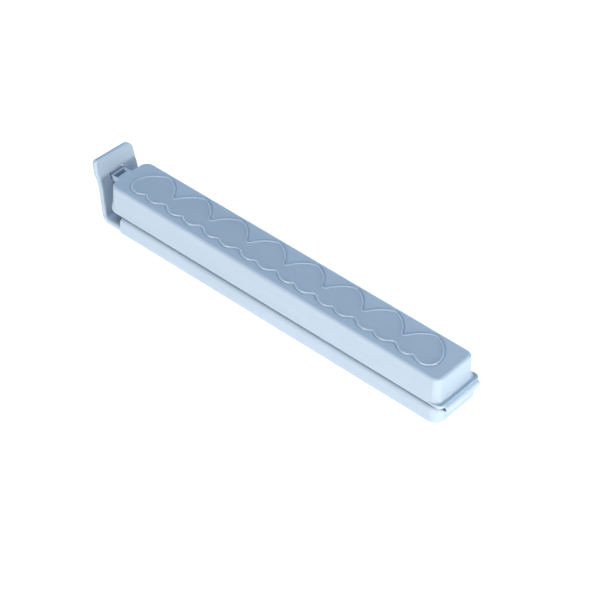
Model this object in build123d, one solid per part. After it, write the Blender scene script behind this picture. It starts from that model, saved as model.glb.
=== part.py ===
"""Bag clip with a heart-relief top: one polypropylene moulding, split where it flexes and by feature.

Millimetres. +X runs from the latch to the living hinge, +Z is up, and the origin is the centre of
the footprint at the level of the lower arm's underside. The clip is modelled closed.
"""
import math
import os

from build123d import *

# Overall sizes
LENGTH = 110.0  # outer face of the thumb tab to the outer skin of the living hinge
WIDTH = 15.0  # across the lower arm's lips
LOWER_HEIGHT = 4.8  # underside to lip tops
JAW_GAP = 0.6  # lip tops to the upper arm's rim, closed
SHELL_HEIGHT = 7.2  # rim underside to the flat top
TAB_RISE = 4.4  # thumb tab above the flat top

# Upper arm
SHELL_INSET = 1.0  # lip's outer face to the shell's side, each side
WALL = 1.4
TOP_THICKNESS = 1.5
DRAFT_DEG = 1.6
TOP_FILLET = 0.8
SHELL_CORNER = 2.7  # upright corners at the latch end
HINGE_CORNER = 2.0  # and at the hinge end
RIM_PROUD = 0.4
RIM_HEIGHT = 0.9
SHELF_REACH = 1.7  # hinge-end wall to the hinge line
SHELF_CORNER = 1.4

# Lower arm
FLOOR = 1.5
LIP = 1.4
LOWER_CORNER = 2.9
LOWER_BOTTOM_FILLET = 1.0
LIP_FILLET = 1.1
HINGE_SETBACK = 0.5  # hinge line to the lower arm's end face
HINGE_END_WALL = 1.6
BARE_STRAP = 4.6  # floor without lips between the tray and the latch's bend

# Sealing parts
BLADE = 1.0
BLADE_ENTRY = 0.9  # how far the blade reaches below the lip tops
RIDGE = 1.2
RIDGE_CLEARANCE = 0.4  # blade to each ridge
RIDGE_HEIGHT = 3.3
RIDGE_FILLET = 0.4
SEAL_END_GAP = 2.0  # blade and ridges to the end walls
CROSS_WEB = 0.9
CROSS_WEB_HEIGHT = 4.4

# Hearts
HEART_NEAR_EDGE = 2.1  # shell's near side to the lobes
HEART_FAR_EDGE = 1.3  # shell's far side to the tips
HEART_RELIEF = 0.3
HEART_END_GAP = 3.45  # shell's end to the first heart
HEART_PITCH_RATIO = 1.229  # centre to centre over a heart's depth
HEART_HALF_RATIO = 0.599  # half width over depth
LOBE_REACH_RATIO = 0.333  # each lobe's middle to the heart's widest point
LOBE_DROP_RATIO = 0.318  # widest point to the bottom of the lobes
TIP_HANDLE_RATIO = 0.135  # roundness of the tip
FLANK_HANDLE_RATIO = 0.406  # roundness where the flanks meet the lobes
NECK_NEAR_RATIO = 0.156  # bridge between neighbouring hearts, above the lobes' bottom
NECK_FAR_RATIO = 0.484
NECK_OVERLAP = 0.6  # how far a bridge runs into each heart

# Living hinge
HINGE_OUTER_RADIUS = 1.0
HINGE_WEB = 0.5
HINGE_WEB_INSET = 1.2  # web's end to the shelf's end, each side

# Latch
STRAP = 1.4
STRAP_LIFT = 0.3  # strap's underside above the lower arm's underside
STRAP_INSET = 0.5  # lip's outer face to the strap's edge at the floor
LATCH_INSET = 1.15  # the same at the window
TAB_INSET = 1.0
TAB_SLOPE = 0.45  # far end of the tab's top edge below its near end
TAB_CORNER_NEAR = 1.1
TAB_CORNER_FAR = 2.8
BEND_RADIUS = 1.6  # centreline
WALL_LEAN_DEG = 12.0
THROAT_LEAN_DEG = 22.0
TAB_LEAN_DEG = 6.0
THROAT_HEIGHT = 2.6
THROAT_DROP = 2.0  # shell top to the throat's start
THROAT_RADIUS = 3.0

# Snap tongue and the window that holds it
TONGUE_WIDTH = 4.5
TONGUE_HEIGHT = 1.6
TONGUE_HOOK = 1.5  # tip to the opening
TONGUE_OPENING = 1.2
TONGUE_SIDE = 0.4
TONGUE_CHAMFER = 0.27
TONGUE_TIP_CLEARANCE = 0.3  # tip to the outer face of the latch wall
WINDOW_DROP = 1.0  # shell top to the window's upper edge
WINDOW_SIDE_CLEARANCE = 0.2
WINDOW_TOP_CLEARANCE = 0.4
WINDOW_BOTTOM_CLEARANCE = 0.4
LATCH_GAP = 3.3  # shell's latch end to the latch wall's inner face, at the window's upper edge

# Places that follow from the sizes
SHELL_WIDTH = WIDTH - 2 * SHELL_INSET
RIM_Z = LOWER_HEIGHT + JAW_GAP
TOP_Z = RIM_Z + SHELL_HEIGHT
TAB_Z = TOP_Z + TAB_RISE
HINGE_X = LENGTH / 2 - HINGE_OUTER_RADIUS
HINGE_Z = (LOWER_HEIGHT + RIM_Z) / 2
LOWER_END_X = HINGE_X - HINGE_SETBACK
WINDOW_TOP_Z = TOP_Z - WINDOW_DROP
TONGUE_TOP_Z = WINDOW_TOP_Z - WINDOW_TOP_CLEARANCE
TONGUE_BOTTOM_Z = TONGUE_TOP_Z - TONGUE_HEIGHT
WINDOW_BOTTOM_Z = TONGUE_BOTTOM_Z - WINDOW_BOTTOM_CLEARANCE
WINDOW_WIDTH = TONGUE_WIDTH + 2 * WINDOW_SIDE_CLEARANCE
DRAFT_SPREAD = SHELL_HEIGHT * math.tan(math.radians(DRAFT_DEG))
BIG = 4 * LENGTH


def lean(height, degrees):
    """Sideways travel of a leaning face over a height."""
    return height * math.tan(math.radians(degrees))


def block(x0, x1, y0, y1, z0, z1):
    """A box between two corners."""
    size = Vector(x1 - x0, y1 - y0, z1 - z0)
    centre = Vector(x0 + x1, y0 + y1, z0 + z1) * 0.5
    return Pos(centre) * Box(size.X, size.Y, size.Z)


def slab(z0, z1):
    return block(-BIG, BIG, -BIG, BIG, z0, z1)


# The latch strap's centreline, in X and Z, from the tray to the top of the thumb tab
THROAT_Z = TOP_Z - THROAT_DROP
THROAT_TOP_Z = THROAT_Z + THROAT_HEIGHT
TAB_X = -LENGTH / 2 + STRAP / 2
THROAT_TOP_X = TAB_X + lean(TAB_Z - THROAT_TOP_Z, TAB_LEAN_DEG)
THROAT_X = THROAT_TOP_X + lean(THROAT_HEIGHT, THROAT_LEAN_DEG)
STRAP_Z = STRAP_LIFT + STRAP / 2
BEND_X = THROAT_X + lean(THROAT_Z - STRAP_Z, WALL_LEAN_DEG)
BEND_TANGENT = BEND_RADIUS * math.tan(math.radians(90 - WALL_LEAN_DEG) / 2)
TRAY_X = BEND_X + BEND_TANGENT + BARE_STRAP
WINDOW_INNER_X = (
    THROAT_X
    - lean(WINDOW_TOP_Z - THROAT_Z, THROAT_LEAN_DEG)
    + STRAP / 2 / math.cos(math.radians(THROAT_LEAN_DEG))
)
WINDOW_OUTER_X = WINDOW_INNER_X - STRAP / math.cos(math.radians(THROAT_LEAN_DEG))
SHELL_START_X = WINDOW_INNER_X + LATCH_GAP
SHELL_END_X = HINGE_X - SHELF_REACH


def shell_foot():
    """Plan of the upper arm's box at its foot, where the draft has spread it."""
    length = SHELL_END_X - SHELL_START_X + 2 * DRAFT_SPREAD
    centre = Pos((SHELL_END_X + SHELL_START_X) / 2, 0, RIM_Z)
    plan = centre * Rectangle(length, SHELL_WIDTH + 2 * DRAFT_SPREAD)
    plan = fillet(plan.vertices().group_by(Axis.X)[0], SHELL_CORNER)
    return fillet(plan.vertices().group_by(Axis.X)[-1], HINGE_CORNER)


def shell_outer():
    """The box's outer skin: drafted sides and a rounded top edge."""
    body = extrude(shell_foot(), SHELL_HEIGHT, taper=DRAFT_DEG)
    return fillet(body.faces().sort_by(Axis.Z)[-1].edges(), TOP_FILLET)


def upper_shell():
    """The hollow box as its top plate, two side walls and two end walls."""
    outer = shell_outer()
    inner_y = SHELL_WIDTH / 2 - WALL
    inner_start = SHELL_START_X + WALL
    inner_end = SHELL_END_X - WALL
    plate_z = TOP_Z - TOP_THICKNESS
    below = (RIM_Z - 1, plate_z)
    return {
        "upper_top_plate": outer & slab(plate_z, TOP_Z + 1),
        "upper_side_wall_near": outer & block(inner_start, inner_end, -BIG, -inner_y, *below),
        "upper_side_wall_far": outer & block(inner_start, inner_end, inner_y, BIG, *below),
        "upper_end_wall_hinge": outer & block(inner_end, BIG, -BIG, BIG, *below),
        "upper_end_wall_latch": outer & block(-BIG, inner_start, -BIG, BIG, *below),
    }


def rim_and_shelf():
    """The bead round the box's foot, and the wide shelf that carries the living hinge."""
    outer_y = SHELL_WIDTH / 2 + DRAFT_SPREAD + RIM_PROUD
    start_x = SHELL_START_X - DRAFT_SPREAD - RIM_PROUD
    length = HINGE_X - start_x
    plan = Pos(start_x + length / 2, 0, RIM_Z) * Rectangle(length, 2 * outer_y)
    plan = fillet(plan.vertices().group_by(Axis.X)[0], SHELL_CORNER + RIM_PROUD)
    plan = fillet(plan.vertices().group_by(Axis.X)[-1], SHELF_CORNER)
    ring = extrude(plan, RIM_HEIGHT) - extrude(shell_foot(), RIM_HEIGHT)
    shelf_x = SHELL_END_X + DRAFT_SPREAD - HINGE_CORNER
    end_x = SHELL_START_X - DRAFT_SPREAD + SHELL_CORNER
    return {
        "rim_bead_near": ring & block(end_x, shelf_x, -BIG, 0, 0, TOP_Z),
        "rim_bead_far": ring & block(end_x, shelf_x, 0, BIG, 0, TOP_Z),
        "rim_bead_latch_end": ring & block(-BIG, end_x, -BIG, BIG, 0, TOP_Z),
        "hinge_shelf": ring & block(shelf_x, BIG, -BIG, BIG, 0, TOP_Z),
    }


def heart_depth():
    return SHELL_WIDTH - HEART_NEAR_EDGE - HEART_FAR_EDGE


def heart(depth):
    """One heart, tip towards +Y, lobes resting on Y = 0."""
    half = HEART_HALF_RATIO * depth
    reach = LOBE_REACH_RATIO * depth
    drop = LOBE_DROP_RATIO * depth
    handle_x = TIP_HANDLE_RATIO * depth
    handle_y = drop + FLANK_HANDLE_RATIO * depth
    flank = Bezier((0, depth), (handle_x, depth), (half, handle_y), (half, drop))
    top = make_face(flank + Polyline((half, drop), (0, drop), (0, depth)))
    lobe = Pos(half - reach, drop) * Ellipse(reach, drop)
    side = top + lobe
    return side + mirror(side, Plane.YZ)


def heart_row():
    """The hearts merged into one raised outline on the flat top."""
    depth = heart_depth()
    pitch = HEART_PITCH_RATIO * depth
    half = HEART_HALF_RATIO * depth
    first_x = SHELL_START_X + HEART_END_GAP + half
    count = 1 + int((SHELL_END_X - HEART_END_GAP - half - first_x) // pitch)
    lobe_y = -SHELL_WIDTH / 2 + HEART_NEAR_EDGE
    one = heart(depth)
    row = Sketch() + [Pos(first_x + i * pitch, lobe_y) * one for i in range(count)]
    near_y = lobe_y + NECK_NEAR_RATIO * depth
    far_y = lobe_y + NECK_FAR_RATIO * depth
    neck = Rectangle(pitch - 2 * half + 2 * NECK_OVERLAP, far_y - near_y)
    neck_y = (near_y + far_y) / 2
    row += [Pos(first_x + (i + 0.5) * pitch, neck_y) * neck for i in range(count - 1)]
    return {"heart_relief": extrude(Pos(0, 0, TOP_Z) * row, HEART_RELIEF)}


def sealing_blade_and_webs():
    """The blade that presses the bag, and the cross webs that stiffen the box."""
    plate_z = TOP_Z - TOP_THICKNESS
    inner_y = SHELL_WIDTH / 2 - WALL
    start_x = SHELL_START_X + WALL + SEAL_END_GAP
    end_x = SHELL_END_X - WALL - SEAL_END_GAP
    blade = block(start_x, end_x, -BLADE / 2, BLADE / 2, LOWER_HEIGHT - BLADE_ENTRY, plate_z)
    spacing = HEART_PITCH_RATIO * heart_depth()
    count = int((end_x - start_x) // spacing)
    middle = (start_x + end_x) / 2
    webs = []
    for i in range(count):
        x = middle + (i - (count - 1) / 2) * spacing
        for low_y, high_y in ((-inner_y, -BLADE / 2), (BLADE / 2, inner_y)):
            x0, x1 = x - CROSS_WEB / 2, x + CROSS_WEB / 2
            webs.append(block(x0, x1, low_y, high_y, plate_z - CROSS_WEB_HEIGHT, plate_z))
    return {"sealing_blade": blade, "cross_webs": Compound(children=webs)}


def snap_tongue():
    """A small open loop on the box's end that snaps into the latch's window."""
    tip_x = WINDOW_OUTER_X + TONGUE_TIP_CLEARANCE
    half = TONGUE_WIDTH / 2
    root_x = SHELL_START_X + WALL / 2
    z = (TONGUE_BOTTOM_Z, TONGUE_TOP_Z)
    loop = block(tip_x, root_x, -half, half, *z)
    open_x = tip_x + TONGUE_HOOK
    loop -= block(open_x, open_x + TONGUE_OPENING, TONGUE_SIDE - half, half - TONGUE_SIDE, *z)
    nose = loop.edges().filter_by(Axis.Y).sort_by(Axis.X)[:2]
    loop = chamfer(nose, TONGUE_CHAMFER)
    return {"snap_tongue": loop - shell_outer()}


def lower_tray():
    """The lower arm: floor, two lips and the hinge-end wall."""
    length = LOWER_END_X - TRAY_X
    plan = Rectangle(length, WIDTH)
    hinge_corners = plan.vertices().sort_by(Axis.X)[-2:]
    plan = Pos(TRAY_X + length / 2, 0) * fillet(hinge_corners, LOWER_CORNER)
    body = extrude(plan, LOWER_HEIGHT)
    latch_face = body.faces().sort_by(Axis.X)[0].edges()
    bottom = body.faces().sort_by(Axis.Z)[0].edges() - latch_face
    body = fillet(bottom, LOWER_BOTTOM_FILLET)
    latch_face = body.faces().sort_by(Axis.X)[0].edges()
    top = body.faces().sort_by(Axis.Z)[-1].edges() - latch_face
    body = fillet(top, LIP_FILLET)
    inner_y = WIDTH / 2 - LIP
    wall_x = LOWER_END_X - HINGE_END_WALL
    above = (FLOOR, LOWER_HEIGHT + 1)
    return {
        "lower_floor": body & slab(-1, FLOOR),
        "lower_lip_near": body & block(-BIG, wall_x, -BIG, -inner_y, *above),
        "lower_lip_far": body & block(-BIG, wall_x, inner_y, BIG, *above),
        "lower_end_wall_hinge": body & block(wall_x, BIG, -BIG, BIG, *above),
    }


def sealing_ridges():
    """Two ridges on the floor that the blade closes between."""
    near_x = TRAY_X + SEAL_END_GAP
    far_x = LOWER_END_X - HINGE_END_WALL - SEAL_END_GAP
    low_y = BLADE / 2 + RIDGE_CLEARANCE
    ridge = block(near_x, far_x, low_y, low_y + RIDGE, FLOOR, FLOOR + RIDGE_HEIGHT)
    ridge = fillet(ridge.faces().sort_by(Axis.Z)[-1].edges().filter_by(Axis.X), RIDGE_FILLET)
    return {"sealing_ridge_near": mirror(ridge, Plane.XZ), "sealing_ridge_far": ridge}


def living_hinge():
    """The thin U-shaped web between the shelf and the lower arm's end."""
    half = SHELL_WIDTH / 2 + DRAFT_SPREAD + RIM_PROUD - HINGE_WEB_INSET
    inner = HINGE_OUTER_RADIUS - HINGE_WEB
    ring = Circle(HINGE_OUTER_RADIUS) - Circle(inner)
    ring &= Pos(HINGE_OUTER_RADIUS, 0) * Rectangle(2 * HINGE_OUTER_RADIUS, 2 * HINGE_OUTER_RADIUS)
    leg = Pos(-HINGE_SETBACK / 2, -inner - HINGE_WEB / 2) * Rectangle(HINGE_SETBACK, HINGE_WEB)
    profile = Plane(origin=(HINGE_X, 0, HINGE_Z), x_dir=(1, 0, 0), z_dir=(0, -1, 0)) * (ring + leg)
    return {"living_hinge_web": extrude(profile, half, both=True)}


def strap_width_outline():
    """Outline of the latch strap seen along X: tapered sides and a sloping, round-cornered tab."""
    half = WIDTH / 2
    side = [
        (half - STRAP_INSET, 0),
        (half - STRAP_INSET, STRAP_LIFT + STRAP),
        (half - LATCH_INSET, WINDOW_BOTTOM_Z),
        (half - LATCH_INSET, WINDOW_TOP_Z),
        (half - TAB_INSET, THROAT_TOP_Z),
    ]
    near_corner = (TAB_INSET - half, TAB_Z)
    far_corner = (half - TAB_INSET, TAB_Z - TAB_SLOPE)
    near_side = [(-y, z) for y, z in reversed(side)]
    outline = make_face(Polyline(*side, far_corner, near_corner, *near_side, close=True))
    outline = fillet(outline.vertices().sort_by(Axis.Y)[-1], TAB_CORNER_NEAR)
    far_vertex = outline.vertices().sort_by_distance((*far_corner, 0))[0]
    outline = fillet(far_vertex, TAB_CORNER_FAR)
    return extrude(Plane.YZ * outline, BIG, both=True)


def latch_strap():
    """The strap that runs from the tray, bends up and ends in the thumb tab."""
    centreline = FilletPolyline(
        (TRAY_X, STRAP_Z),
        (BEND_X, STRAP_Z),
        (THROAT_X, THROAT_Z),
        (THROAT_TOP_X, THROAT_TOP_Z),
        (TAB_X - lean(STRAP, TAB_LEAN_DEG), TAB_Z + STRAP),
        radius=[BEND_RADIUS, THROAT_RADIUS, THROAT_RADIUS],
    )
    flexure, bend, wall, *upper = centreline.edges()
    width = strap_width_outline()

    def band(*edges):
        """The strap along some of its centreline's edges, at its real width."""
        profile = Sketch() + [trace(edge, STRAP) for edge in edges]
        return extrude(Plane.XZ * profile, BIG, both=True) & width

    whole_wall = band(wall, *upper)
    half = WINDOW_WIDTH / 2
    between = (WINDOW_BOTTOM_Z, WINDOW_TOP_Z)
    posts = whole_wall & slab(*between)
    return {
        "latch_flexure": band(flexure),
        "latch_bend": band(bend),
        "latch_wall": whole_wall & slab(0, WINDOW_BOTTOM_Z),
        "latch_post_near": posts & block(-BIG, 0, -BIG, -half, *between),
        "latch_post_far": posts & block(-BIG, 0, half, BIG, *between),
        "thumb_tab": whole_wall & slab(WINDOW_TOP_Z, TAB_Z + 1),
    }


def main():
    parts = {}
    for group in (
        lower_tray(),
        sealing_ridges(),
        latch_strap(),
        living_hinge(),
        upper_shell(),
        rim_and_shelf(),
        heart_row(),
        sealing_blade_and_webs(),
        snap_tongue(),
    ):
        parts.update(group)
    os.makedirs("parts", exist_ok=True)
    for name, shape in parts.items():
        export_step(shape, f"parts/{name}.step")
    print(f"hinge line: x {HINGE_X:.2f} z {HINGE_Z:.2f}")
    print(f"latch flexure: x {TRAY_X:.2f} to {TRAY_X - BARE_STRAP:.2f}, z {STRAP_Z:.2f}")
    print(f"shell: x {SHELL_START_X:.2f} to {SHELL_END_X:.2f}, top z {TOP_Z:.2f}")


main()
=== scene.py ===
"""Bag clip: the looks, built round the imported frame.

One satin polypropylene moulding, closed. Shapes are worked out in millimetres in the frame's own
axes and turned into metres when a mesh is made. +X runs from the latch to the living hinge.
"""
import math

import bmesh
import bpy
import numpy as np
from mathutils import Matrix, Vector
from mathutils.geometry import delaunay_2d_cdt


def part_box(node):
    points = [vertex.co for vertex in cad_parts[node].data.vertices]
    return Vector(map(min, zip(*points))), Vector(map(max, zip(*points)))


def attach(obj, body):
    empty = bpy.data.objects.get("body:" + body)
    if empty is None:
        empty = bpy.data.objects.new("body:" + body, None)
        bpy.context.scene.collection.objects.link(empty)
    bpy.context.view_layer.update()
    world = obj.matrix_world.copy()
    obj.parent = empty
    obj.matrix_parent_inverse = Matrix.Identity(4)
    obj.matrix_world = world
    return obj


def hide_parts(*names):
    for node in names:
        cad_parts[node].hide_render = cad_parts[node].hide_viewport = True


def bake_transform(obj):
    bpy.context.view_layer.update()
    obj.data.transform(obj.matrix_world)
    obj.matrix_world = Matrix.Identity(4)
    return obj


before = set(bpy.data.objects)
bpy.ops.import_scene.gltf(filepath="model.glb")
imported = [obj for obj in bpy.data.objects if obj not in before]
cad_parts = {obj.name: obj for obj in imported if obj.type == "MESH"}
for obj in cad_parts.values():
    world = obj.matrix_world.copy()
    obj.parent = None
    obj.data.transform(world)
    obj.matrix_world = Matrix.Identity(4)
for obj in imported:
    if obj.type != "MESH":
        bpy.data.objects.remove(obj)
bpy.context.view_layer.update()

MM = 0.001
SUPPORT = 0.05  # a loop this close to a rounded edge keeps the flat beside it flat
ARC_STEPS = 8
SWAY = 0.0004  # a cap's corners move by this much at most, so that no three lie in line
FINE_SPACING = 0.1
CAP_SPACING = 1.0

# Upper arm
SHELL_CORNER = 2.7  # upright corners at the latch end
HINGE_CORNER = 2.0  # and at the hinge end
WALL = 1.4
TOP_FILLET = 0.8
TOP_THICKNESS = 1.5
CAVITY_FILLET = 0.5
SHELF_CORNER = 1.4
RIM_EDGE = 0.2
BEAD_RISE = 0.45  # bead's height at the sides and the latch end
FLARE = 2.4  # height over which the walls spread into the bead
COVE = 1.0  # the same over the hinge shelf
COVE_STEPS = 8
VALLEY = 0.25  # hollow across the shelf
VALLEY_STEPS = 4
MOUTH_BEVEL = 0.15  # at the box's open foot, inside
SIDE_STEPS = (50, 6)  # divisions along the box's sides and its ends

# Hearts
HEARTS = 8
LOBE_REACH = 3.2  # each lobe's middle to the heart's widest point
LOBE_DROP = 3.05  # widest point to the bottom of the lobes
HEART_HALF_WIDTH = 5.75
TIP_HANDLE = 1.3
FLANK_HANDLE = 3.9
NECK_NEAR = 1.5  # bridge between neighbouring hearts, above the lobes' bottom
NECK_FAR = 4.65
OUTLINE_SPACING = 0.2
BEAD_HEIGHT = 0.22
BEAD_MIDDLE = 0.2  # bead's crest inside the outline
BEAD_WIDTH = 0.27  # crest to foot
GROOVE_DEPTH = 0.15
GROOVE_MIDDLE = -0.14
GROOVE_WIDTH = 0.24
FIELD_LEVEL = 0.05
FIELD_START = 0.44  # where the level field begins, inside the outline
SEAT_DISTANCE = -0.14  # where the raised row leaves the top plate

# Lower arm
LIP = 1.4
LOWER_CORNER = 2.9
LOWER_BOTTOM_FILLET = 1.0
LIP_EDGE = 1.1
LIP_INNER_EDGE = 0.2
FLOOR = 1.5
FLOOR_FILLET = 0.35

# Latch strap
WALL_LEAN_DEG = 12.0
THROAT_LEAN_DEG = 22.0
TAB_LEAN_DEG = 6.0
BEND_RADIUS = 1.6
THROAT_RADIUS = 3.0
THROAT_START = 2.0  # below the upper arm's flat top
THROAT_HEIGHT = 2.6
TAB_CORNER_NEAR = 1.1
TAB_CORNER_FAR = 2.8
TAB_SLOPE = 0.45  # far corner below the near one
STRAP_EDGE = 0.55
STRAP_SPACING = 0.3
STRAP_ROOT = 0.9  # length hidden in the tray's floor
WINDOW_CORNER = 0.35
STRAP_SIDE_POINTS = 80
ROOT_FADE = 0.5  # length over which the strap comes out of the floor, past its root

# Snap tongue, blade, ridges and webs
TONGUE_HOOK = 1.5  # tip to the opening
TONGUE_OPENING = 1.2
TONGUE_SIDE = 0.4
TONGUE_ROOT = 1.1  # length inside the box's end wall
TONGUE_EDGE = 0.14
TONGUE_NOSE = 0.5  # length of the thinned tip
TONGUE_THINNING = 0.35  # share of the thickness that the tip loses
TONGUE_CORNER = 0.5
TONGUE_OPENING_CORNER = 0.25
BLADE_EDGE = 0.3
BLADE_TIP_INSET = 0.15
RIDGE_EDGE = 0.42
RIB_ROUNDNESS = 0.8  # end radius over half thickness
EMBED = 0.25  # how deep a rib's root goes into the wall that carries it
WEB_ARCH = 1.1
WEB_THICKNESS = 0.9
WEB_PAIRS = 8

# Living hinge
HINGE_WEB = 0.5
HINGE_EDGE = 0.12
HINGE_END_CORNER = 0.15
HINGE_SPACING = 0.15
HINGE_STEP = 0.02
HINGE_LEG = 0.9
HINGE_BLEND_REACH = 1.5


def box(node):
    """Lowest and highest corner of a CAD node, in millimetres."""
    low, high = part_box(node)
    return low / MM, high / MM


def lean(height, degrees):
    return height * math.tan(math.radians(degrees))


# Outlines

def arc(x, y, radius, start, stop, steps=ARC_STEPS):
    """Points on a circle from one angle to another, in degrees."""
    angles = np.radians(np.linspace(start, stop, steps + 1))
    return np.stack((x + radius * np.cos(angles), y + radius * np.sin(angles)), 1)


def rounded_rectangle(low, high, inset, radius, side_steps=(1, 1), end_radius=None):
    """A closed outline with side_steps divisions along X and Y and end_radius at its +X corners."""
    x0, y0 = low[0] + inset, low[1] + inset
    x1, y1 = high[0] - inset, high[1] - inset
    r0 = max(radius, 0.05)
    r1 = r0 if end_radius is None else max(end_radius, 0.05)
    corners = (
        arc(x0 + r0, y0 + r0, r0, 180, 270),
        arc(x1 - r1, y0 + r1, r1, 270, 360),
        arc(x1 - r1, y1 - r1, r1, 0, 90),
        arc(x0 + r0, y1 - r0, r0, 90, 180),
    )
    points = []
    for i, corner in enumerate(corners):
        points.extend(corner)
        following = corners[(i + 1) % 4][0]
        shares = np.linspace(0, 1, side_steps[i % 2] + 1)[1:-1]
        points.extend(corner[-1] + (following - corner[-1]) * share for share in shares)
    return np.array(points)


def evenly_spaced(points, spacing, closed=True):
    """The same line with its points a fixed distance apart."""
    points = np.vstack((points, points[:1])) if closed else points
    steps = np.linalg.norm(np.diff(points, axis=0), axis=1)
    along = np.concatenate(([0], np.cumsum(steps)))
    count = max(int(round(along[-1] / spacing)), 8)
    places = np.linspace(0, along[-1], count + 1)
    even = np.stack([np.interp(places, along, points[:, k]) for k in (0, 1)], 1)
    return even[:-1] if closed else even


def averaged(rows):
    """Each row of a closed line eased towards its two neighbours."""
    return (np.roll(rows, 1, 0) + 2 * rows + np.roll(rows, -1, 0)) / 4


class Outline:
    """A closed outline, counter-clockwise, that can be grown or shrunk without crossing itself."""

    def __init__(self, points, spacing, softening=6, rounding=0):
        self.points = evenly_spaced(np.asarray(points), spacing)
        for _ in range(rounding):
            self.points = averaged(self.points)
        run = np.roll(self.points, -1, 0) - self.points
        run /= np.linalg.norm(run, axis=1)[:, None]
        after = np.stack((run[:, 1], -run[:, 0]), 1)
        before = np.roll(after, 1, 0)
        way = after + before
        for _ in range(softening):
            way = averaged(way)
        way /= np.linalg.norm(way, axis=1)[:, None]
        facing = np.minimum((way * after).sum(1), (way * before).sum(1))
        self.reach = way / np.maximum(facing, 0.5)[:, None]

    def grown(self, distance):
        return self.points + self.reach * distance


class Skin:
    """A closed surface built from loops of vertices. Its faces take the finish that is set last."""

    def __init__(self):
        self.bm = bmesh.new()
        self.finish = 0

    def loop(self, points, z):
        return [self.bm.verts.new((x, y, z)) for x, y in points]

    def face(self, verts):
        face = self.bm.faces.new(verts)
        face.material_index = self.finish

    def band(self, first, second, closed=True):
        """Quads between two loops with the same number of vertices."""
        count = len(first)
        for i in range(count if closed else count - 1):
            j = (i + 1) % count
            self.face((first[i], first[j], second[j], second[i]))

    def stack(self, loops, closed=True):
        for first, second in zip(loops, loops[1:]):
            self.band(first, second, closed)

    def cap(self, outer, holes=(), spacing=None):
        """Fills the level area inside one loop and outside the others."""
        rings = (outer, *holes)
        rim = [v for ring in rings for v in ring]
        # A hair's breadth of sway keeps three points of a straight side from lying in line
        sway = np.sin(np.outer(np.arange(len(rim)), (12.9, 78.2))) * SWAY
        flat = np.array([v.co.xy for v in rim]) + sway
        edges, outlines = [], []
        for ring in rings:
            start, count = len(edges), len(ring)
            edges += [(start + i, start + (i + 1) % count) for i in range(count)]
            outlines.append(flat[start:start + count])
        if spacing:
            flat = np.vstack((flat, grid_inside(flat, spacing)))
        corners = [Vector(p) for p in flat]
        places, _, faces, source, *_ = delaunay_2d_cdt(corners, edges, [], 0, 1e-6)
        middles = np.array(places)[np.array(faces)].mean(1)
        height = outer[0].co.z
        verts = {}
        for face, keep in zip(faces, within(middles, outlines)):
            if not keep:
                continue
            for i in face:
                if i not in verts:
                    own = [k for k in source[i] if k < len(rim)]
                    verts[i] = rim[own[0]] if own else self.bm.verts.new((*places[i], height))
            self.face([verts[i] for i in face])

    def solid(self, outline, profile, holes=(), spacing=None):
        """A plate whose edge follows (inset, z) pairs, from its underside to its top."""
        sides = [[self.loop(outline(-inset), z) for inset, z in profile]]
        for hole in holes:
            sides.append([self.loop(hole(inset), z) for inset, z in profile])
        for loops in sides:
            self.stack(loops)
        for end in (0, -1):
            self.cap(sides[0][end], [loops[end] for loops in sides[1:]], spacing)

    def moved(self, place):
        """Puts each vertex where a function of its coordinates says."""
        for v in self.bm.verts:
            v.co = place(v.co)

    def made(self, name, finishes, sharp_deg=40):
        """The finished mesh object, in metres, at the origin."""
        bmesh.ops.remove_doubles(self.bm, verts=self.bm.verts, dist=1e-5)
        bmesh.ops.dissolve_degenerate(self.bm, edges=self.bm.edges, dist=1e-6)
        bmesh.ops.recalc_face_normals(self.bm, faces=self.bm.faces)
        bmesh.ops.scale(self.bm, vec=(MM, MM, MM), verts=self.bm.verts)
        mesh = bpy.data.meshes.new(name)
        self.bm.to_mesh(mesh)
        self.bm.free()
        mesh.shade_smooth()
        mesh.set_sharp_from_angle(angle=math.radians(sharp_deg))
        for finish in finishes:
            mesh.materials.append(finish)
        piece = bpy.data.objects.new(name, mesh)
        bpy.context.scene.collection.objects.link(piece)
        return piece


def within(places, outlines):
    """Which places an odd number of the outlines go round."""
    inside = np.zeros(len(places), bool)
    x, y = places[:, 0], places[:, 1]
    for outline in outlines:
        for (x0, y0), (x1, y1) in zip(outline, np.roll(outline, -1, 0)):
            if y0 != y1:
                crosses = (y < y0) != (y < y1)
                inside ^= crosses & (x < x0 + (y - y0) * (x1 - x0) / (y1 - y0))
    return inside


def grid_inside(points, spacing):
    """A grid of points over the area that some points cover."""
    low = np.min(points, axis=0) + spacing / 2
    high = np.max(points, axis=0)
    columns = np.arange(low[0], high[0], spacing)
    rows = np.arange(low[1], high[1], spacing)
    return [(x, y) for x in columns for y in rows]


def rounded_edge(inset, z, radius, start, stop, steps=ARC_STEPS):
    """(inset, z) pairs round a quarter circle whose centre is at inset, z."""
    return [(inset - a, z + b) for a, b in arc(0, 0, radius, start, stop, steps)]


def soft_plate(thickness, edge):
    """Edge profile of a plate centred on z = 0, rounded above and below."""
    half = thickness / 2
    below = rounded_edge(edge, -half + edge, edge, -90, 0, 5)
    above = rounded_edge(edge, half - edge, edge, 0, 90, 5)
    flat = edge + SUPPORT
    return [(flat, -half), *below, *above, (flat, half)]


# Upper arm

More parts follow.
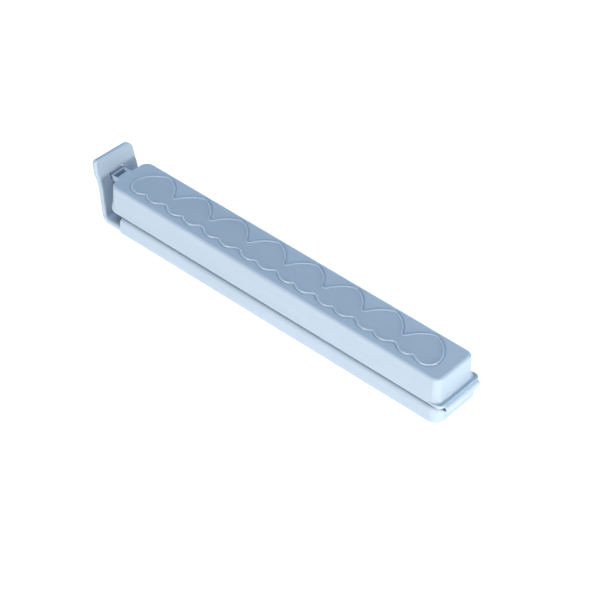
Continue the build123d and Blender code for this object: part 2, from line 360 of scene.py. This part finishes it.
def heart_half(low_y, high_y):
    """One heart's +X half as its lobe, from the notch outwards, and its flank, up to the tip."""
    widest = low_y + LOBE_DROP
    lobe_x = HEART_HALF_WIDTH - LOBE_REACH
    notch = math.degrees(math.acos(lobe_x / LOBE_REACH))
    lobe = arc(0, 0, 1, 180 + notch, 360, 40) * (LOBE_REACH, LOBE_DROP) + (lobe_x, widest)
    handles = (
        (HEART_HALF_WIDTH, widest),
        (HEART_HALF_WIDTH, widest + FLANK_HANDLE),
        (TIP_HANDLE, high_y),
        (0, high_y),
    )
    along = np.linspace(0, 1, 41)[1:, None]
    back = 1 - along
    weights = (back**3, 3 * along * back**2, 3 * along**2 * back, along**3)
    return lobe, sum(weight * np.array(handle) for weight, handle in zip(weights, handles))


def heart_outline():
    """The row of hearts joined by short necks: lobes towards -Y, tips towards +Y."""
    low, high = box("heart_relief")
    pitch = (high.x - low.x - 2 * HEART_HALF_WIDTH) / (HEARTS - 1)
    lobe, flank = heart_half(low.y, high.y)
    joined_lobe = lobe[lobe[:, 1] <= low.y + NECK_NEAR]
    joined_flank = flank[flank[:, 1] >= low.y + NECK_FAR]
    near, far = [], []
    for i in range(HEARTS):
        x = low.x + HEART_HALF_WIDTH + i * pitch
        first, last = i == 0, i == HEARTS - 1
        left_lobe = (lobe if first else joined_lobe)[::-1] * (-1, 1)
        left_flank = (flank if first else joined_flank)[::-1] * (-1, 1)
        near += [left_lobe + (x, 0), (lobe if last else joined_lobe) + (x, 0)]
        far.append(np.vstack(((flank if last else joined_flank) + (x, 0), left_flank + (x, 0))))
    return Outline(np.vstack((*near, *reversed(far))), OUTLINE_SPACING, rounding=8)


def hump(distance, middle, half_width):
    """A smooth hump, 1 at its middle and 0 past its half width."""
    share = min(abs(distance - middle) / half_width, 1)
    return (1 + math.cos(math.pi * share)) / 2


def relief_height(distance):
    """Height of the heart relief over the flat top, at a distance inside the outline."""
    bead = BEAD_HEIGHT * hump(distance, BEAD_MIDDLE, BEAD_WIDTH)
    groove = GROOVE_DEPTH * hump(distance, GROOVE_MIDDLE, GROOVE_WIDTH)
    field = FIELD_LEVEL * (1 - hump(max(distance, 0), 0, FIELD_START))
    return bead - groove + field


def relief_loops(skin, outline, start, stop, steps, top_z):
    """Loops that follow the heart outline from one distance inside it to another."""
    distances = np.linspace(start, stop, steps + 1)
    return [skin.loop(outline.grown(-d), top_z + relief_height(d)) for d in distances]


def foot_loops(skin, foot, bead, low_z, shelf_z):
    """The bead round the foot, which widens into the hollow hinge shelf, and the flare above it."""
    def plan(inset):
        radius = SHELL_CORNER + foot[0][0] - bead[0][0] - inset
        return rounded_rectangle(*bead, inset, radius, SIDE_STEPS, SHELF_CORNER - inset)

    wall = rounded_rectangle(*foot, 0, SHELL_CORNER, SIDE_STEPS, HINGE_CORNER)
    rim = plan(0)
    share = np.clip((rim[:, 0] - foot[1][0] + HINGE_CORNER) / HINGE_CORNER, 0, 1)
    share = share * share * (3 - 2 * share)
    top = low_z + BEAD_RISE + (shelf_z - low_z - BEAD_RISE) * share
    edge = RIM_EDGE
    rows = [(plan(edge + SUPPORT), low_z + 0 * top)]
    for inset, z in rounded_edge(edge, low_z + edge, edge, -90, 0, 4):
        rows.append((plan(inset), z + 0 * top))
    for inset, z in rounded_edge(edge, -edge, edge, 0, 90, 4):
        brow = rim + (plan(inset) - rim) * share[:, None]
        rows.append((brow, top + z))
    level = np.clip(1 - COVE / np.linalg.norm(brow - wall, axis=1), 0, 1) * share
    for part in np.linspace(0, 1, VALLEY_STEPS + 1)[1:]:
        hollow = VALLEY * share * math.sin(math.pi / 2 * part)
        rows.append((brow + (wall - brow) * (level * part)[:, None], top - hollow))
    for part in np.linspace(0, 1, COVE_STEPS + 1)[1:]:
        turn = part * math.pi / 2
        across = (1 - (1 - part) ** 2) * (1 - share) + math.sin(turn) * share
        across = level + (1 - level) * across
        cove = (COVE + VALLEY) * (1 - math.cos(turn)) - VALLEY
        rows.append((brow + (wall - brow) * across[:, None],
                     top + FLARE * part * (1 - share) + cove * share))
    return [[skin.bm.verts.new((x, y, z)) for (x, y), z in zip(*row)] for row in rows]


def upper_shell(hearts, outside, inside):
    """The hollow box with its foot bead and hinge shelf, as one skin."""
    latch_low, _ = box("upper_end_wall_latch")
    side_low, _ = box("upper_side_wall_near")
    _, hinge_high = box("upper_end_wall_hinge")
    rim_low, rim_high = box("rim_bead_latch_end")
    _, shelf_high = box("hinge_shelf")
    top_low, top_high = box("upper_top_plate")
    foot = ((latch_low.x, side_low.y), (hinge_high.x, -side_low.y))
    bead = ((rim_low.x, -rim_high.y), (shelf_high.x, rim_high.y))
    top_z = top_high.z
    # The plate's own box starts below the rounded edge, so its sides give the draft
    draft = (top_low.x - latch_low.x) / (top_low.z - rim_low.z)
    skin = Skin()

    def wall_loop(inset, z):
        latch_radius, hinge_radius = SHELL_CORNER - inset, HINGE_CORNER - inset
        plan = rounded_rectangle(*foot, inset, latch_radius, SIDE_STEPS, hinge_radius)
        return skin.loop(plan, z)

    edge_z = top_z - TOP_FILLET
    lean_in = draft * (edge_z - rim_low.z)
    outer = [wall_loop(WALL - MOUTH_BEVEL, rim_low.z)]
    outer += foot_loops(skin, foot, bead, rim_low.z, rim_high.z)
    fillet = rounded_edge(lean_in + TOP_FILLET, edge_z, TOP_FILLET, 0, 90)
    outer += [wall_loop(inset, z) for inset, z in fillet]
    outer += [wall_loop(lean_in + TOP_FILLET + SUPPORT, top_z)]
    skin.stack(outer)
    start = GROOVE_MIDDLE - GROOVE_WIDTH
    groove = relief_loops(skin, hearts, start - SUPPORT, SEAT_DISTANCE, 6, top_z)
    skin.cap(outer[-1], [groove[0]], CAP_SPACING)
    skin.stack(groove)
    skin.cap(groove[-1])

    skin.finish = 1
    ceiling = top_z - TOP_THICKNESS
    cavity = [outer[0], wall_loop(WALL, rim_low.z + MOUTH_BEVEL)]
    corner_inset = WALL + lean_in + CAVITY_FILLET
    corner = rounded_edge(corner_inset, ceiling - CAVITY_FILLET, CAVITY_FILLET, 0, 90, 5)
    cavity += [wall_loop(inset, z) for inset, z in corner]
    cavity += [wall_loop(corner_inset + SUPPORT, ceiling)]
    skin.stack(cavity)
    skin.cap(cavity[-1], spacing=CAP_SPACING)
    return skin.made("upper_shell", (outside, inside))


def heart_row(hearts, finish):
    """The raised bead and the fields inside it, seated in the top plate."""
    _, high = box("upper_top_plate")
    skin = Skin()
    root = skin.loop(hearts.grown(-SEAT_DISTANCE), high.z - GROOVE_DEPTH - EMBED)
    relief = relief_loops(skin, hearts, SEAT_DISTANCE, FIELD_START + SUPPORT, 16, high.z)
    skin.stack([root, *relief])
    skin.cap(root)
    skin.cap(relief[-1], spacing=CAP_SPACING)
    return skin.made("heart_row", (finish,), sharp_deg=80)


def rib(name, node, edge, taper, root_below, root_above, finish):
    """A long bar with round ends and a rounded free edge, rooted in the wall it grows from."""
    low, high = box(node)

    def plan(growth):
        half = (high.y - low.y) / 2
        return rounded_rectangle(low, high, -growth, half * RIB_ROUNDNESS + growth)

    bottom = rounded_edge(edge + taper, low.z + edge, edge, -90, 0, 5)
    top = rounded_edge(edge + taper, high.z - edge, edge, 0, 90, 5)
    if root_below:
        profile = [(0, low.z - EMBED), (0, low.z), *top]
    if root_above:
        profile = [*bottom, (0, high.z), (0, high.z + EMBED)]
    skin = Skin()
    skin.solid(plan, profile)
    return skin.made(name, (finish,))


def snap_tongue(finish):
    """The open loop on the box's end that snaps into the latch's window."""
    low, high = box("snap_tongue")
    wall_x = box("upper_end_wall_latch")[0].x
    outer_plan = rounded_rectangle(low, (wall_x + TONGUE_ROOT, high.y), 0, TONGUE_CORNER)
    slot_low = (low.x + TONGUE_HOOK, low.y + TONGUE_SIDE)
    slot_high = (slot_low[0] + TONGUE_OPENING, -slot_low[1])
    slot_plan = rounded_rectangle(slot_low, slot_high, 0, TONGUE_OPENING_CORNER)
    outer = Outline(outer_plan, FINE_SPACING, 2)
    slot = Outline(slot_plan, FINE_SPACING, 2)
    middle = (low.z + high.z) / 2
    skin = Skin()
    skin.solid(outer.grown, soft_plate(high.z - low.z, TONGUE_EDGE), [slot.grown])

    def nosed(co):
        thin = TONGUE_THINNING * max(1 - (co.x - low.x) / TONGUE_NOSE, 0) ** 2
        return Vector((co.x, co.y, middle + co.z * (1 - thin)))

    skin.moved(nosed)
    return skin.made("tongue_loop", (finish,))


# Lower arm

def lower_tray(outside, inside):
    """Floor, lips and hinge-end wall in one skin. It is open where the latch strap leaves it."""
    floor_low, floor_high = box("lower_floor")
    height = box("lower_lip_near")[1].z
    start_x = floor_low.x
    skin = Skin()

    def channel(inset, z):
        radius = max(LOWER_CORNER - inset, 0.3)
        x1, y0 = floor_high.x - inset, floor_low.y + inset
        near = arc(x1 - radius, y0 + radius, radius, -90, 0)
        far = arc(x1 - radius, -y0 - radius, radius, 0, 90)
        run = np.linspace(start_x, x1 - radius, 50)[:-1]
        points = [(x, y0) for x in run] + [*near, *far] + [(x, -y0) for x in run[::-1]]
        return skin.loop(points, z)

    bottom = LOWER_BOTTOM_FILLET
    flank = [(bottom + SUPPORT, 0), *rounded_edge(bottom, bottom, bottom, -90, 0)]
    flank += rounded_edge(LIP_EDGE, height - LIP_EDGE, LIP_EDGE, 0, 90, 5)
    edge = LIP_INNER_EDGE
    flank += rounded_edge(LIP - edge, height - edge, edge, 90, 180, 4)
    outer = [channel(inset, z) for inset, z in flank]
    skin.stack(outer, closed=False)
    skin.finish = 1
    corner = rounded_edge(LIP + FLOOR_FILLET, FLOOR + FLOOR_FILLET, FLOOR_FILLET, 0, -90, 5)
    inner = [channel(inset, z) for inset, z in corner]
    inner += [channel(LIP + FLOOR_FILLET + SUPPORT, FLOOR)]
    skin.stack([outer[-1], *inner], closed=False)
    skin.cap(inner[-1], spacing=2 * CAP_SPACING)
    skin.finish = 0
    skin.cap(outer[0], spacing=2 * CAP_SPACING)
    loops = outer + inner
    skin.face([loop[0] for loop in loops] + [loop[-1] for loop in reversed(loops)])
    return skin.made("lower_tray", (outside, inside))


class Bend:
    """A centreline in X and Z with rounded corners, which a flat plate is wrapped onto."""

    def __init__(self, corners, radii, step=0.04):
        places = [np.array(corners[0], float)]
        for before, corner, after, radius in zip(corners, corners[1:], corners[2:], radii):
            places.extend(corner_arc(before, corner, after, radius, step))
        places.append(np.array(corners[-1], float))
        self.places = evenly_spaced(np.array(places), step, closed=False)
        run = np.gradient(self.places, axis=0)
        self.ways = run / np.linalg.norm(run, axis=1)[:, None]
        gaps = np.linalg.norm(np.diff(self.places, axis=0), axis=1)
        self.along = np.concatenate(([0], np.cumsum(gaps)))
        self.length = self.along[-1]

    def at(self, distance):
        place = [np.interp(distance, self.along, self.places[:, k]) for k in (0, 1)]
        way = [np.interp(distance, self.along, self.ways[:, k]) for k in (0, 1)]
        return place, way

    def wrap(self, co):
        """A plate's (distance along, Y, height) as a place in the frame."""
        (x, z), (way_x, way_z) = self.at(co.x)
        return Vector((x - way_z * co.z, co.y, z + way_x * co.z))

    def distance_at_height(self, z):
        """How far along the centreline first reaches a height."""
        above = np.nonzero(self.places[:, 1] >= z)[0][0]
        return self.along[above]


def corner_arc(before, corner, after, radius, step):
    """The arc that rounds one corner of a line."""
    before, corner, after = (Vector(p) for p in (before, corner, after))
    way_in, way_out = (corner - before).normalized(), (after - corner).normalized()
    turn = way_in.angle(way_out)
    reach = radius * math.tan(turn / 2)
    start = corner - way_in * reach
    side = 1 if way_in.x * way_out.y > way_in.y * way_out.x else -1
    normal = Vector((-way_in.y, way_in.x)) * side
    centre = start + normal * radius
    count = max(int(radius * turn / step), 4)
    for i in range(count + 1):
        angle = turn * i / count
        spoke = way_in * math.sin(angle) - normal * math.cos(angle)
        yield np.array(centre + spoke * radius)


def latch_strap(finish):
    """The strap from the tray's floor through its bend and window to the thumb tab."""
    flexure_low, flexure_high = box("latch_flexure")
    post_low, post_high = box("latch_post_far")
    tab_low, tab_high = box("thumb_tab")
    top_z = box("upper_top_plate")[1].z
    thickness = flexure_high.z - flexure_low.z
    strap_z = flexure_low.z + thickness / 2
    tab_x = tab_low.x + thickness / 2
    throat_z = top_z - THROAT_START
    throat_top = (tab_x + lean(tab_high.z - throat_z - THROAT_HEIGHT, TAB_LEAN_DEG),
                  throat_z + THROAT_HEIGHT)
    throat_x = throat_top[0] + lean(THROAT_HEIGHT, THROAT_LEAN_DEG)
    bend_x = throat_x + lean(throat_z - strap_z, WALL_LEAN_DEG)
    corners = [
        (flexure_high.x + STRAP_ROOT, strap_z),
        (bend_x, strap_z),
        (throat_x, throat_z),
        throat_top,
        (tab_x, tab_high.z),
    ]
    bend = Bend(corners, (BEND_RADIUS, THROAT_RADIUS, THROAT_RADIUS))
    heights = (flexure_high.z, post_low.z, post_high.z, throat_top[1])
    halves = (flexure_high.y, post_high.y, post_high.y, tab_high.y)

    def half_width(distance):
        return np.interp(bend.at(distance)[0][1], heights, halves)

    end = bend.length
    half = half_width(end)
    near_d, far_d = end - TAB_CORNER_NEAR, end - TAB_SLOPE - TAB_CORNER_FAR
    root = 2 * STRAP_EDGE
    near = [(d, -half_width(d)) for d in np.linspace(root, near_d, STRAP_SIDE_POINTS)]
    far = [(d, half_width(d)) for d in np.linspace(far_d, root, STRAP_SIDE_POINTS)]
    root_y = half_width(root) - root
    foot = [*arc(root, root_y, root, 90, 180), *arc(root, -root_y, root, 180, 270)]
    corners = [*arc(near_d, TAB_CORNER_NEAR - half, TAB_CORNER_NEAR, -90, 0),
               *arc(far_d, half - TAB_CORNER_FAR, TAB_CORNER_FAR, 0, 90)]
    plan = Outline([*near, *corners, *far, *foot], STRAP_SPACING / 2, 3)
    window_start = bend.distance_at_height(post_low.z)
    window_end = bend.distance_at_height(post_high.z)
    window_half = post_low.y
    window_low, window_high = (window_start, -window_half), (window_end, window_half)
    window_plan = rounded_rectangle(window_low, window_high, 0, WINDOW_CORNER)
    window = Outline(window_plan, FINE_SPACING, 2)
    skin = Skin()
    skin.solid(plan.grown, soft_plate(thickness, STRAP_EDGE), [window.grown], STRAP_SPACING)
    floor_top = box("lower_floor")[1].z

    def rooted(co):
        """The root sinks into the tray's floor, so the strap grows out of it."""
        sink = max(1 - co.x / (STRAP_ROOT + ROOT_FADE), 0)
        spare = flexure_high.z - floor_top + SUPPORT
        lowered = co.z - math.copysign(spare * min(sink * 2, 1), co.z)
        return bend.wrap(Vector((co.x, co.y, lowered)))

    skin.moved(rooted)
    return skin.made("latch_strap", (finish,))


def living_hinge(finish):
    """The thin web that joins the shelf to the lower arm's end wall."""
    low, high = box("living_hinge_web")
    outer = (high.z - low.z) / 2
    axis_x, axis_z = high.x - outer, (high.z + low.z) / 2
    middle = outer - HINGE_WEB / 2
    start_x = axis_x - HINGE_LEG
    corners = [
        (start_x, axis_z - middle),
        (axis_x + middle, axis_z - middle),
        (axis_x + middle, axis_z + middle),
        (start_x, axis_z + middle),
    ]
    bend = Bend(corners, (middle, middle), HINGE_STEP)
    plan_low, plan_high = (0, low.y), (bend.length, high.y)
    plan_points = rounded_rectangle(plan_low, plan_high, 0, HINGE_END_CORNER)
    plan = Outline(plan_points, HINGE_SPACING, 1)
    skin = Skin()
    skin.solid(plan.grown, soft_plate(HINGE_WEB, HINGE_EDGE), spacing=HINGE_SPACING)
    skin.moved(bend.wrap)
    return skin.made("living_hinge", (finish,))


# Node trees

class Field:
    """A node socket that turns arithmetic into Math nodes."""

    def __init__(self, tree, socket):
        self.tree = tree
        self.socket = socket

    def __add__(self, other):
        return self.tree.maths("ADD", self, other)

    def __sub__(self, other):
        return self.tree.maths("SUBTRACT", self, other)

    def __rsub__(self, other):
        return self.tree.maths("SUBTRACT", other, self)

    def __mul__(self, other):
        return self.tree.maths("MULTIPLY", self, other)

    __radd__ = __add__
    __rmul__ = __mul__


class Tree:
    """A node tree with one method that makes its nodes."""

    def __init__(self, nodes):
        self.nodes = nodes

    def node(self, kind, settings=None, values=None, output=0):
        """A node's output. Settings come first, then the values or links of its sockets."""
        node = self.nodes.nodes.new(kind)
        for name, value in (settings or {}).items():
            setattr(node, name, value)
        for name, value in (values or {}).items():
            if isinstance(value, Field):
                self.nodes.links.new(value.socket, node.inputs[name])
            else:
                node.inputs[name].default_value = value
        return Field(self, node.outputs[output]) if len(node.outputs) else node

    def maths(self, operation, first, second):
        return self.node("ShaderNodeMath", {"operation": operation}, {0: first, 1: second})


def web_tree():
    """Arched cross webs in a grid: one pair, near and far, at each step along the box."""
    group = bpy.data.node_groups.new("cross_webs", "GeometryNodeTree")
    group.is_modifier = True
    face = group.interface
    face.new_socket("Webs", in_out="OUTPUT", socket_type="NodeSocketGeometry")
    for name, kind in (
        ("Row Length", "Float"),
        ("Pair Spacing", "Float"),
        ("Pairs", "Int"),
        ("Thickness", "Float"),
        ("Width", "Float"),
        ("Height", "Float"),
        ("Arch", "Float"),
        ("Middle", "Vector"),
        ("Finish", "Material"),
    ):
        face.new_socket(name, in_out="INPUT", socket_type="NodeSocket" + kind)
    tree = Tree(group)
    inputs = group.nodes.new("NodeGroupInput")
    given = {s.name: Field(tree, s) for s in inputs.outputs if s.name}
    size = tree.node("ShaderNodeCombineXYZ", None,
                     {0: given["Thickness"], 1: given["Width"], 2: given["Height"]})
    blank = tree.node("GeometryNodeMeshCube", None,
                      {"Size": size, "Vertices X": 2, "Vertices Y": 13, "Vertices Z": 8})
    place = group.nodes.new("GeometryNodeInputPosition").outputs[0]
    split = group.nodes.new("ShaderNodeSeparateXYZ")
    group.links.new(place, split.inputs[0])
    y, z = Field(tree, split.outputs[1]), Field(tree, split.outputs[2])
    across = tree.maths("DIVIDE", y, given["Width"]) * 2
    depth = 0.5 - tree.maths("DIVIDE", z, given["Height"])
    rise = given["Arch"] * (1 - across * across) * depth
    lift = tree.node("ShaderNodeCombineXYZ", None, {2: rise})
    web = tree.node("GeometryNodeSetPosition", None, {"Geometry": blank, "Offset": lift})
    row = tree.node("GeometryNodeMeshGrid", None, {
        "Size X": given["Row Length"],
        "Size Y": given["Pair Spacing"],
        "Vertices X": given["Pairs"],
        "Vertices Y": 2,
    })
    webs = tree.node("GeometryNodeInstanceOnPoints", None, {"Points": row, "Instance": web})
    placed = tree.node("GeometryNodeTransform", None,
                       {"Geometry": webs, "Translation": given["Middle"]})
    real = tree.node("GeometryNodeRealizeInstances", None, {"Geometry": placed})
    done = tree.node("GeometryNodeSetMaterial", None,
                     {"Geometry": real, "Material": given["Finish"]})
    output = group.nodes.new("NodeGroupOutput")
    group.links.new(done.socket, output.inputs[0])
    return group


def cross_webs(finish):
    """Stiffening webs on both sides of the blade."""
    low, high = box("cross_webs")
    blade_half = box("sealing_blade")[1].y
    width = high.y - blade_half + 2 * EMBED
    height = high.z - low.z + EMBED
    group = web_tree()
    piece = bpy.data.objects.new("stiffening_webs", bpy.data.meshes.new("blank"))
    bpy.context.scene.collection.objects.link(piece)
    modifier = piece.modifiers.new("webs", "NODES")
    modifier.node_group = group
    values = {
        "Row Length": (high.x - low.x - WEB_THICKNESS) * MM,
        "Pair Spacing": (high.y + blade_half) * MM,
        "Pairs": WEB_PAIRS,
        "Thickness": WEB_THICKNESS * MM,
        "Width": width * MM,
        "Height": height * MM,
        "Arch": WEB_ARCH * MM,
        "Middle": Vector(((low.x + high.x) / 2, 0, low.z + height / 2)) * MM,
        "Finish": finish,
    }
    for item in group.interface.items_tree:
        if item.in_out == "INPUT":
            modifier[item.identifier] = values[item.name]
    seen = piece.evaluated_get(bpy.context.evaluated_depsgraph_get())
    mesh = bpy.data.meshes.new_from_object(seen)
    piece.modifiers.clear()
    piece.data = mesh
    mesh.name = piece.name
    return piece


# Finishes

def moulded_plastic(name, colour, roughness, grain=1.0, flow=1.0, pale=0.0):
    """Satin moulded polypropylene: faint flow lines, mottling and a fine spark-eroded grain."""
    material = bpy.data.materials.new(name)
    material.use_nodes = True
    material.node_tree.nodes.clear()
    tree = Tree(material.node_tree)
    place = tree.node("ShaderNodeTexCoord", output=3)

    def noise(scale_mm, detail=2.0, stretch=(1, 1, 1)):
        per_metre = tuple(s / (scale_mm * MM) for s in stretch)
        scaled = tree.node("ShaderNodeVectorMath", {"operation": "MULTIPLY"},
                           {0: place, 1: per_metre})
        return tree.node("ShaderNodeTexNoise", None,
                         {"Vector": scaled, "Scale": 1.0, "Detail": detail})

    cloud = noise(14.0, 3.0) - 0.5
    streak = noise(1.6, 2.0, (0.06, 1, 1)) - 0.5
    speck = noise(0.35, 1.0) - 0.5
    fine = noise(0.11, 2.0) - 0.5
    ripple = noise(2.2, 1.0) - 0.5
    tone = cloud * 0.5 + streak * (0.35 * flow) + speck * 0.22 + 0.5
    darker = tuple(c * 0.90 for c in colour) + (1,)
    lighter = tuple(min(c * 1.10 + pale, 1) for c in colour) + (1,)
    base = tree.node("ShaderNodeMix", {"data_type": "RGBA"},
                     {0: tone, 6: darker, 7: lighter}, output=2)
    rough = cloud * 0.08 + speck * 0.10 + streak * (0.10 * flow) + roughness
    height = fine * (0.0035 * grain) + speck * (0.004 * grain) + ripple * 0.012
    bump = tree.node("ShaderNodeBump", None,
                     {"Strength": 0.6, "Distance": MM, "Height": height})
    shader = tree.node("ShaderNodeBsdfPrincipled", None, {
        "Base Color": base,
        "Roughness": rough,
        "Normal": bump,
        "IOR": 1.49,
        "Subsurface Weight": 0.12,
        "Subsurface Radius": (0.8, 1.0, 1.3),
        "Subsurface Scale": 0.6 * MM,
    })
    tree.node("ShaderNodeOutputMaterial", None, {"Surface": shader})
    return material


BLUE = (0.36, 0.447, 0.54)


def body_plastic():
    return moulded_plastic("satin_blue", BLUE, 0.42)


def cavity_plastic():
    return moulded_plastic("cavity_blue", tuple(c * 0.97 for c in BLUE), 0.50, grain=1.6, flow=1.5)


def heart_plastic():
    return moulded_plastic("heart_blue", tuple(c * 0.96 for c in BLUE), 0.34, grain=0.6)


def strap_plastic():
    return moulded_plastic("strap_blue", BLUE, 0.40, flow=0.6)


def flexed_plastic():
    return moulded_plastic("flexed_blue", tuple(c * 1.04 for c in BLUE), 0.46, pale=0.06)


# Stage

CAMERA_AIM = Vector((3.362, 3.407, 0.753))
CAMERA_DISTANCE = 563.05
CAMERA_AZIMUTH = 40.67
CAMERA_ELEVATION = 42.04
CAMERA_ROLL = 1.12
LENS = 144.03


def direction(azimuth_deg, elevation_deg):
    """Unit vector from the object, azimuth 0 at -Y and 90 at +X."""
    a, e = math.radians(azimuth_deg), math.radians(elevation_deg)
    return Vector((math.sin(a) * math.cos(e), -math.cos(a) * math.cos(e), math.sin(e)))


def camera():
    back = direction(CAMERA_AZIMUTH, CAMERA_ELEVATION)
    level = direction(CAMERA_AZIMUTH + 90, 0)
    turn = Matrix.Rotation(math.radians(CAMERA_ROLL), 3, back)
    right = turn @ level
    up = back.cross(right)
    data = bpy.data.cameras.new("camera")
    data.lens = LENS
    data.sensor_width = 36.0
    data.clip_start, data.clip_end = 0.01, 20
    eye = bpy.data.objects.new("camera", data)
    bpy.context.scene.collection.objects.link(eye)
    eye.matrix_world = Matrix((right, up, back)).transposed().to_4x4()
    eye.location = (CAMERA_AIM + back * CAMERA_DISTANCE) * MM
    bpy.context.scene.camera = eye


def softbox(name, azimuth, elevation, distance, size, power, colour):
    """A round area light aimed at the clip: degrees, metres and watts."""
    data = bpy.data.lights.new(name, "AREA")
    data.shape = "DISK"
    data.size = size
    data.energy = power
    data.color = colour
    lamp = bpy.data.objects.new(name, data)
    bpy.context.scene.collection.objects.link(lamp)
    way = direction(azimuth, elevation)
    lamp.location = way * distance
    lamp.rotation_mode = "QUATERNION"
    lamp.rotation_quaternion = way.to_track_quat("Z", "Y")


def white_surround():
    """A light tent: bright near the horizon and dimmer overhead."""
    world = bpy.data.worlds.new("tent")
    world.use_nodes = True
    world.node_tree.nodes.clear()
    tree = Tree(world.node_tree)
    way = tree.node("ShaderNodeTexCoord", output=0)
    split = world.node_tree.nodes.new("ShaderNodeSeparateXYZ")
    world.node_tree.links.new(way.socket, split.inputs[0])
    height = Field(tree, split.outputs[2])
    glow = tree.maths("MAXIMUM", 1 - tree.maths("ABSOLUTE", height, 0), 0) * 0.21 + 0.095
    light = tree.node("ShaderNodeBackground", None,
                      {"Color": (1, 0.97, 0.92, 1), "Strength": glow})
    tree.node("ShaderNodeOutputWorld", None, {"Surface": light})
    bpy.context.scene.world = world


def pale_floor():
    """A large white sheet under the clip."""
    mesh = bpy.data.meshes.new("floor")
    half, level = 3.0, -0.00002
    signs = ((-1, -1), (1, -1), (1, 1), (-1, 1))
    corners = [(half * x, half * y, level) for x, y in signs]
    mesh.from_pydata(corners, [], [(0, 1, 2, 3)])
    floor = bpy.data.objects.new("floor", mesh)
    bpy.context.scene.collection.objects.link(floor)
    material = bpy.data.materials.new("white_sheet")
    material.use_nodes = True
    shader = material.node_tree.nodes["Principled BSDF"]
    shader.inputs["Base Color"].default_value = (0.93, 0.93, 0.93, 1)
    shader.inputs["Roughness"].default_value = 0.9
    shader.inputs["Emission Color"].default_value = (1, 1, 1, 1)
    shader.inputs["Emission Strength"].default_value = 0.50
    mesh.materials.append(material)


# Assembly

def carried(piece, body, *nodes):
    """A piece that rides on one body and stands for its CAD nodes."""
    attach(piece, body)
    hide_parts(*nodes)


def bending(piece, body_a, body_b, start, end, *nodes):
    """A piece with its place baked into its mesh, standing for its CAD nodes."""
    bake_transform(piece)
    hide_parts(*nodes)


def upper_arm():
    body, cavity = body_plastic(), cavity_plastic()
    hearts = heart_outline()
    carried(
        upper_shell(hearts, body, cavity), "upper_arm",
        "upper_top_plate", "upper_side_wall_near", "upper_side_wall_far",
        "upper_end_wall_hinge", "upper_end_wall_latch",
        "rim_bead_near", "rim_bead_far", "rim_bead_latch_end", "hinge_shelf",
    )
    carried(heart_row(hearts, heart_plastic()), "upper_arm", "heart_relief")
    blade = rib("seal_blade", "sealing_blade", BLADE_EDGE, BLADE_TIP_INSET, False, True, cavity)
    carried(blade, "upper_arm", "sealing_blade")
    carried(cross_webs(cavity), "upper_arm", "cross_webs")
    carried(snap_tongue(strap_plastic()), "upper_arm", "snap_tongue")


def lower_arm():
    body, cavity = body_plastic(), cavity_plastic()
    carried(
        lower_tray(body, cavity), "lower_arm",
        "lower_floor", "lower_lip_near", "lower_lip_far", "lower_end_wall_hinge",
    )
    for side in ("near", "far"):
        name = "sealing_ridge_" + side
        ridge = rib("seal_ridge_" + side, name, RIDGE_EDGE, 0, True, False, cavity)
        carried(ridge, "lower_arm", name)


def flexing_parts():
    flexure_low, flexure_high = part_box("latch_flexure")
    bending(
        latch_strap(strap_plastic()), "lower_arm", "latch",
        (flexure_high.x, 0, flexure_low.z), (flexure_low.x, 0, flexure_low.z),
        "latch_flexure", "latch_bend", "latch_wall",
        "latch_post_near", "latch_post_far", "thumb_tab",
    )
    low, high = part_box("living_hinge_web")
    middle = (low.z + high.z) / 2
    reach = HINGE_BLEND_REACH * MM
    bending(
        living_hinge(flexed_plastic()), "lower_arm", "upper_arm",
        (high.x, 0, middle - reach), (high.x, 0, middle + reach), "living_hinge_web",
    )


def stage():
    bpy.context.scene.view_settings.view_transform = "Standard"
    white_surround()
    pale_floor()
    softbox("side_light", 2, 9, 0.70, 0.40, 4.60, (1.0, 0.856, 0.725))
    softbox("end_light", 88, 5, 0.40, 0.16, 1.68, (1.0, 0.98, 0.93))
    softbox("top_light", 0, 80, 0.80, 0.60, 4.30, (0.56, 0.765, 1.0))
    softbox("back_light", 200, 18, 0.80, 0.50, 2.4, (0.85, 0.92, 1.0))
    camera()


upper_arm()
lower_arm()
flexing_parts()
stage()
